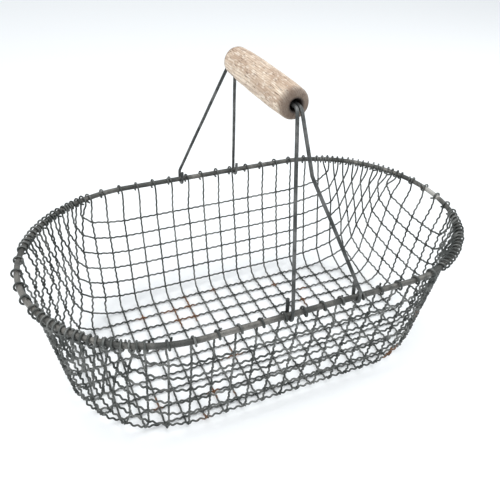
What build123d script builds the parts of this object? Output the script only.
from build123d import *
import os
from math import atan2, cos, hypot, pi, radians, sin, sqrt, tan

# Oval wire mesh carrying basket.
# X runs along the basket, Y across it and along the wooden grip, Z up from the resting plane.

os.makedirs("parts", exist_ok=True)

# ---- driving dimensions, millimetres ----
mesh_pitch = 18.0  # wire to wire along both families of the square mesh
mesh_wire = 1.9  # diameter of a mesh wire
weave_bend = 20.0  # bend radius of a mesh wire at a crossing
weave_lift = 1.4  # how far a wire rides above or below the mesh surface at a crossing

rim_rod = 5.0  # diameter of the rim rod
rim_half_width = 120.6  # centre of the basket to the centre of the rim rod, across
rim_straight = 90.0  # half of the rim's straight stretch, along X
rim_height = 134.0  # centre of the rim rod above the resting plane

base_half_width = 95.0  # where the slope of the wall would meet the floor
base_straight = 91.0  # half of the straight stretch at floor level
floor_corner = 15.0  # radius of the bend between the floor and the wall

cross_wires_per_half = 16  # wires that run across, on each side of the centre
long_wires_per_half = 11  # wires that run lengthwise, on each side of the centre
crossing_margin = 11.0  # no crossing sits closer to the rim than this
crossing_spacing = 11.0  # least distance between neighbouring crossings, measured along the rim

wrap_gap = 0.35  # clearance between the rim rod and a wire wound round it
wrap_lead = 3.4  # how far one turn of a wrap moves along the rim
wrap_from = -20.0  # where a wrap starts, in degrees from the inside of the rim over its top
wrap_to = 290.0  # where a wrap ends
wrap_middle = 0.4  # the part of a turn after which a wrap passes its own place on the rim
wrap_spacing = 6.0  # least distance between neighbouring wraps

handle_wire = 3.0  # diameter of a handle wire
back_foot = 31.5  # centre of the basket to either back foot, along X
left_front_foot = -21.0  # the front feet have slid to the right along the rim
right_front_foot = 39.8
foot_tail = 13.0  # how far a hooked foot stands up inside the rim
foot_lean = 0.8  # how far that tail leans in
foot_gap = 0.75  # clearance between the rim rod and a hooked foot
foot_room = 5.2  # least distance from a handle foot to the next wrap
handle_bend = 6.0  # bend radius of a handle wire
shoulder_out = 4.0  # a leg starts this far outside the rim rod's centre
shoulder_up = 8.0  # and this far above it
spread_point = 0.34  # how far down its leg the right handle wire starts to spread
spread_start = 2.5  # how far it has already moved over at that point

grip_length = 116.0
grip_diameter = 27.0
grip_end_diameter = 25.0  # where the rounding of the end starts
grip_rounding = 5.0  # radius of the rounded ends
grip_bore = 9.6  # diameter of the bore that both handle wires pass through
grip_height = 277.0  # centre of the grip above the resting plane
grip_aside = 4.0  # how far the grip sits to the right of the centre, as its feet do
bore_exit = 5.0  # the handle wires run on straight for this long past the grip
bore_wire_gap = 0.3  # clearance between the two wires in the bore

resting_dip = 0.52  # how much lower a wire dips where the floor starts to bend up

# ---- worked out ----
floor_level = weave_lift + mesh_wire / 2 + resting_dip
wrap_radius = (rim_rod + mesh_wire) / 2 + wrap_gap
wall_rise = rim_height - floor_level
wall_top_half_width = rim_half_width - wrap_radius
wall_slope = atan2(wall_rise, wall_top_half_width - base_half_width)
flat_half_width = base_half_width - floor_corner * tan(wall_slope / 2)
rim_quarter = rim_straight + rim_half_width * pi / 2
up = Vector(0, 0, 1)


def straight_at(height):
    """Half of the outline's straight stretch at a height."""
    return base_straight + (rim_straight - base_straight) * height / rim_height


def inside_distance(point):
    """Signed distance from the mesh surface, positive on the inner side."""
    height = point.Z - floor_level
    out = hypot(max(abs(point.X) - straight_at(point.Z), 0), point.Y)
    if out < flat_half_width:
        return height
    past_flat = out - flat_half_width
    above_bend = height - floor_corner
    if past_flat * cos(wall_slope) + above_bend * sin(wall_slope) < 0:
        return floor_corner - hypot(past_flat, above_bend)
    return height * cos(wall_slope) - (out - base_half_width) * sin(wall_slope)


def inner_normal(point):
    """Unit normal of the mesh surface, pointing into the basket."""
    step = 0.01
    slope = [
        inside_distance(point + Vector(*axis) * step) - inside_distance(point - Vector(*axis) * step)
        for axis in ((1, 0, 0), (0, 1, 0), (0, 0, 1))
    ]
    return Vector(*slope).normalized()


def settle(centre, radius, ahead, inward):
    """The point of a half circle that lies on the mesh surface, found by halving."""
    low, high = -pi / 2, pi / 2
    for _ in range(34):
        middle = (low + high) / 2
        point = centre + (ahead * cos(middle) + inward * sin(middle)) * radius
        if inside_distance(point) < 0:
            low = middle
        else:
            high = middle
    return point


def next_along(point, ahead):
    """One pitch further along a wire that stays in an upright plane."""
    sideways = up.cross(ahead).normalized()
    inward = ahead.cross(sideways).normalized()
    return settle(point, mesh_pitch, ahead, inward)


def next_between(left, right, behind):
    """The crossing one pitch away from two neighbours, opposite the crossing behind them."""
    span = right - left
    middle = (left + right) * 0.5
    ahead = (middle - behind).normalized()
    inward = span.cross(ahead).normalized()
    reach = sqrt(mesh_pitch**2 - (span.length / 2) ** 2)
    return settle(middle, reach, ahead, inward)


def drape_quarter():
    """Crossings of the square mesh laid over one quarter of the basket.

    The mesh is draped like cloth: every cell keeps its four sides one pitch long, and its angles
    close up like scissors where the basket is doubly curved.
    """
    first = Vector(mesh_pitch / 2, mesh_pitch / 2, floor_level)
    crossings = {(0, 0): first}
    ahead = Vector(1, 0, 0)
    for i in range(cross_wires_per_half + 1):
        here = crossings[i, 0]
        crossings[i + 1, 0] = next_along(here, ahead)
        ahead = (crossings[i + 1, 0] - here).normalized()
    ahead = Vector(0, 1, 0)
    for j in range(long_wires_per_half + 2):
        here = crossings[0, j]
        crossings[0, j + 1] = next_along(here, ahead)
        ahead = (crossings[0, j + 1] - here).normalized()
    for j in range(1, long_wires_per_half + 3):
        for i in range(1, cross_wires_per_half + 2):
            neighbours = [(i, j - 1), (i - 1, j), (i - 1, j - 1)]
            if all(key in crossings for key in neighbours):
                right, left, behind = (crossings[key] for key in neighbours)
                near_rim = min(left.Z, right.Z) < rim_height + mesh_pitch
                if near_rim and (right - left).length < 1.98 * mesh_pitch:
                    crossings[i, j] = next_between(left, right, behind)
    return crossings


def rim_station(point):
    """Distance along the rim from the middle of the long side to the place beside a point."""
    past_straight = point.X - straight_at(point.Z)
    if past_straight < 0:
        return point.X * rim_straight / straight_at(point.Z)
    return rim_straight + rim_half_width * atan2(past_straight, point.Y)


def beside_station(station, point):
    """A point moved round the wall, at its own height, to another place along the rim."""
    straight = straight_at(point.Z)
    out = hypot(max(point.X - straight, 0), point.Y)
    if station < rim_straight:
        return Vector(station * straight / rim_straight, out, point.Z)
    turn = (station - rim_straight) / rim_half_width
    return Vector(straight + out * sin(turn), out * cos(turn), point.Z)


def ease_corner(crossings):
    """Keep neighbouring crossings of a ring round the wall apart.

    A drape that keeps its pitch exactly would close its angles to a few degrees in the corners.
    The wires there ride over one another instead, so the crossings move aside a little.
    """
    for ring in range(1, cross_wires_per_half + long_wires_per_half):
        keys = [(i, ring - i) for i in range(ring + 1)]
        keys = [key for key in keys if key in crossings and crossings[key].Z > floor_corner + wrap_spacing]
        places = [rim_station(crossings[key]) for key in keys]
        for _ in range(200):
            for k in range(len(keys) - 1):
                beside_each_other = keys[k + 1][0] == keys[k][0] + 1
                lack = crossing_spacing - (places[k + 1] - places[k])
                if beside_each_other and lack > 0:
                    places[k] -= lack / 2 if keys[k][0] > 0 else 0
                    places[k + 1] += lack / 2 if keys[k + 1][1] > 0 else 0
        for key, place in zip(keys, places):
            crossings[key] = beside_station(place, crossings[key])
    return crossings


def rim_frame(station):
    """Centre of the rim rod and its outward direction at a distance along the quarter."""
    if station < rim_straight:
        return Vector(station, rim_half_width, rim_height), Vector(0, 1, 0)
    turn = (station - rim_straight) / rim_half_width
    outward = Vector(sin(turn), cos(turn), 0)
    return Vector(rim_straight, 0, rim_height) + outward * rim_half_width, outward


def natural_station(points):
    """Where a wire that follows these points reaches the rim, as a distance along the rim."""
    limit = rim_height - crossing_margin
    for below, above in zip(points, points[1:]):
        if above.Z > limit:
            share = (limit - below.Z) / (above.Z - below.Z)
            return rim_station(below + (above - below) * share)
    return rim_station(points[-1])


def spread_stations(stations, gaps, fixed):
    """Push neighbouring stations apart until each pair keeps its gap."""
    order = sorted(stations, key=stations.get)
    for _ in range(400):
        for first, second in zip(order, order[1:]):
            need = max(gaps.get(first, wrap_spacing), gaps.get(second, wrap_spacing))
            lack = need - (stations[second] - stations[first])
            if lack > 0:
                stations[first] -= 0 if first in fixed else lack / 2
                stations[second] += 0 if second in fixed else lack / 2
        last = order[-1]
        stations[last] = min(stations[last], rim_quarter - wrap_spacing / 2)
    return stations


crossings = ease_corner(drape_quarter())
limit = rim_height - crossing_margin
cross_count = {}
long_count = {}
stations = {"foot": back_foot}
for i in range(cross_wires_per_half):
    points = [crossings[i, j] for j in range(long_wires_per_half + 3) if (i, j) in crossings]
    cross_count[i] = sum(point.Z < limit for point in points[:long_wires_per_half])
    stations["cross", i] = natural_station(points)
for j in range(long_wires_per_half):
    points = [crossings[i, j] for i in range(cross_wires_per_half + 2) if (i, j) in crossings]
    long_count[j] = sum(point.Z < limit for point in points[:cross_wires_per_half])
    stations["long", j] = natural_station(points)
stations = spread_stations(stations, {"foot": foot_room}, {"foot"})


def mirrored(vector, side_x, side_y):
    return Vector(vector.X * side_x, vector.Y * side_y, vector.Z)


def signed(index):
    """Count crossings from the centre outwards on both sides: -1 is the mirror of 0."""
    return (index, 1) if index >= 0 else (-1 - index, -1)


def woven_point(i, j, family):
    """A wire's centre at a crossing: one family passes over where the other passes under."""
    column, side_x = signed(i)
    row, side_y = signed(j)
    point = crossings[column, row]
    over = 1 if (i + j) % 2 == 0 else -1
    if family == "long":
        over = -over
    return mirrored(point + inner_normal(point) * weave_lift * over, side_x, side_y)


def wrap_points(station, side_x, side_y):
    """One turn round the rim: up the inside, over the top, down the outside and back under."""
    points = []
    lean = -side_x * side_y
    steps = 8
    for step in range(steps):
        turn = radians(wrap_from + (wrap_to - wrap_from) * step / (steps - 1))
        centre, outward = rim_frame(station + lean * wrap_lead * (turn / (2 * pi) - wrap_middle))
        across = outward * -cos(turn) + up * sin(turn)
        points.append(mirrored(centre + across * wrap_radius, side_x, side_y))
    return points


def tube(path, diameter):
    """A round wire of one diameter along a path."""
    start = Plane(origin=path @ 0, z_dir=path % 0)
    return sweep(start * Circle(diameter / 2), path=path)


def cross_wire_path(i):
    column, side_x = signed(i)
    woven = [woven_point(i, j, "cross") for j in range(-cross_count[column], cross_count[column])]
    station = stations["cross", column]
    points = wrap_points(station, side_x, -1)[::-1] + woven + wrap_points(station, side_x, 1)
    return bent_path(outer_corners(points, weave_bend), weave_bend)


def long_wire_path(j):
    row, side_y = signed(j)
    woven = [woven_point(i, j, "long") for i in range(-long_count[row], long_count[row])]
    station = stations["long", row]
    points = wrap_points(station, -1, side_y)[::-1] + woven + wrap_points(station, 1, side_y)
    return bent_path(outer_corners(points, weave_bend), weave_bend)


def rim():
    """The rim rod: two straight stretches and two half circles, closed into one ring."""
    side = rim_half_width
    end = rim_straight
    path = Wire(
        [
            Line((-end, -side, rim_height), (end, -side, rim_height)),
            ThreePointArc((end, -side, rim_height), (end + side, 0, rim_height), (end, side, rim_height)),
            Line((end, side, rim_height), (-end, side, rim_height)),
            ThreePointArc((-end, side, rim_height), (-end - side, 0, rim_height), (-end, -side, rim_height)),
        ]
    )
    return tube(path, rim_rod)


def bend_at(before, corner, after, radius):
    """Directions out of a corner, the set-back of its bend and how far the bend cuts inside it."""
    back = (before - corner).normalized()
    on = (after - corner).normalized()
    half_angle = radians(back.get_angle(on)) / 2
    shorter = min((before - corner).length, (after - corner).length)
    setback = min(radius / tan(half_angle), 0.48 * shorter)
    bend = setback * tan(half_angle)
    return back, on, setback, bend / sin(half_angle) - bend


def outer_corners(points, radius):
    """Move each corner outwards, until its round bend passes through the point itself."""
    corners = list(points)
    for _ in range(8):
        moved = []
        for before, corner, after, point in zip(corners, corners[1:], corners[2:], points[1:]):
            back, on, _, inside = bend_at(before, corner, after, radius)
            moved.append(point - (back + on).normalized() * inside)
        corners = [points[0]] + moved + [points[-1]]
    return corners


def bent_path(corners, radius):
    """Straight stretches from corner to corner, joined by round bends."""
    pieces = []
    start = corners[0]
    for before, corner, after in zip(corners, corners[1:], corners[2:]):
        back, on, setback, inside = bend_at(before, corner, after, radius)
        middle = corner + (back + on).normalized() * inside
        pieces.append(Line(start, corner + back * setback))
        pieces.append(ThreePointArc(corner + back * setback, middle, corner + on * setback))
        start = corner + on * setback
    pieces.append(Line(start, corners[-1]))
    return Wire(pieces)


def handle_foot(x, side):
    """Corners of a hooked foot, from its free end inside the rim to the outside of the rim."""
    hook = (rim_rod + handle_wire) / 2 + foot_gap
    y = side * rim_half_width
    inner = y - side * hook
    outer = y + side * hook
    return [
        Vector(x, inner - side * foot_lean, rim_height + foot_tail),
        Vector(x, inner, rim_height - hook),
        Vector(x, outer, rim_height - hook),
    ]


def handle_leg(foot_x, bore_x, side):
    """Corners of a leg, from its shoulder just outside the rim to the mouth of the grip's bore."""
    shoulder = Vector(foot_x, side * (rim_half_width + shoulder_out), rim_height + shoulder_up)
    mouth = Vector(bore_x, side * (grip_length / 2 + bore_exit), grip_height)
    return [shoulder, mouth]


def handle(side_x, front_x, kinked):
    """One handle wire: foot, leg, through the grip's bore, leg and foot."""
    back_x = side_x * back_foot
    bore_x = grip_aside + side_x * (handle_wire + bore_wire_gap) / 2
    front_leg = handle_leg(front_x, bore_x, -1)
    back_leg = handle_leg(back_x, bore_x, 1)
    if kinked:
        shoulder, mouth = front_leg
        kink = mouth + (shoulder - mouth) * spread_point
        front_leg.insert(1, Vector(bore_x + side_x * spread_start, kink.Y, kink.Z))
    front = handle_foot(front_x, -1) + front_leg
    back = handle_foot(back_x, 1) + back_leg
    return bent_path(front + back[::-1], handle_bend)


def grip():
    """Turned wooden grip: slightly barrelled, rounded ends, one bore for both wires."""
    half = grip_length / 2
    end = grip_end_diameter / 2
    bore = grip_bore / 2
    with BuildSketch(Plane.XY) as section:
        with BuildLine():
            Line((bore, -half), (end - grip_rounding, -half))
            RadiusArc((end - grip_rounding, -half), (end, -half + grip_rounding), -grip_rounding)
            ThreePointArc((end, -half + grip_rounding), (grip_diameter / 2, 0), (end, half - grip_rounding))
            RadiusArc((end, half - grip_rounding), (end - grip_rounding, half), -grip_rounding)
            Line((end - grip_rounding, half), (bore, half))
            Line((bore, half), (bore, -half))
        make_face()
    turned = revolve(section.sketch, axis=Axis.Y)
    return Pos(grip_aside, 0, grip_height) * turned


def save(shape, name):
    export_step(shape, f"parts/{name}.step")


if __name__ == "__main__":
    save(rim(), "rim_rod")
    for i in range(-cross_wires_per_half, cross_wires_per_half):
        save(tube(cross_wire_path(i), mesh_wire), f"cross_wire_{i + cross_wires_per_half + 1:02d}")
    for j in range(-long_wires_per_half, long_wires_per_half):
        save(tube(long_wire_path(j), mesh_wire), f"long_wire_{j + long_wires_per_half + 1:02d}")
    save(tube(handle(-1, left_front_foot, False), handle_wire), "handle_wire_left")
    save(tube(handle(1, right_front_foot, True), handle_wire), "handle_wire_right")
    save(grip(), "wooden_grip")
